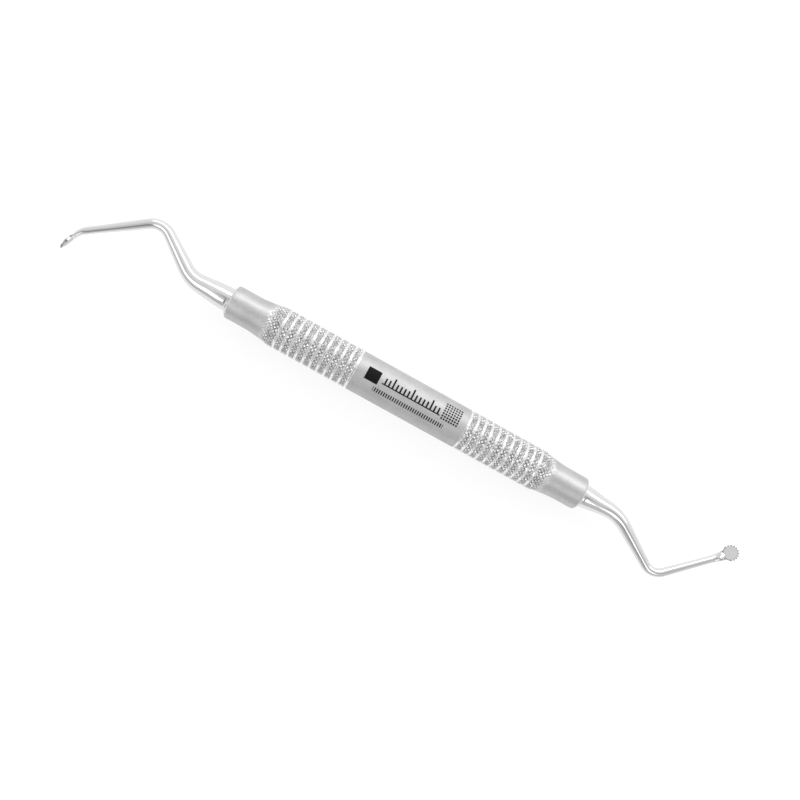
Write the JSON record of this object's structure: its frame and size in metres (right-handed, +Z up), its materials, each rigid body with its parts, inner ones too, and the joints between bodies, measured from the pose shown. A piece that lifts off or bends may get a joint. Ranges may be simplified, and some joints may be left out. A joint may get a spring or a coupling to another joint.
{
  "type": "bone curette",
  "caption": "Bone curette: knurled, ring-grooved round steel handle with a bent, tapered shank at each end that finishes in a small flat-faced blade with teeth round its front.",
  "frame": {"origin": "on the floor, under the middle of the lying tool's bounding box", "axes": "+X along the handle to the end whose blade is turned to face up, +Y across it on the floor, +Z up"},
  "size_m": [0.1762, 0.0178, 0.0101],
  "materials": {
    "handle_steel": "satin blasted stainless steel",
    "polished_steel": "mirror polished stainless steel"
  },
  "bodies": {
    "root": {"handle": "handle_steel", "left_working_end": "polished_steel", "right_working_end": "polished_steel"}
  },
  "joints": []
}
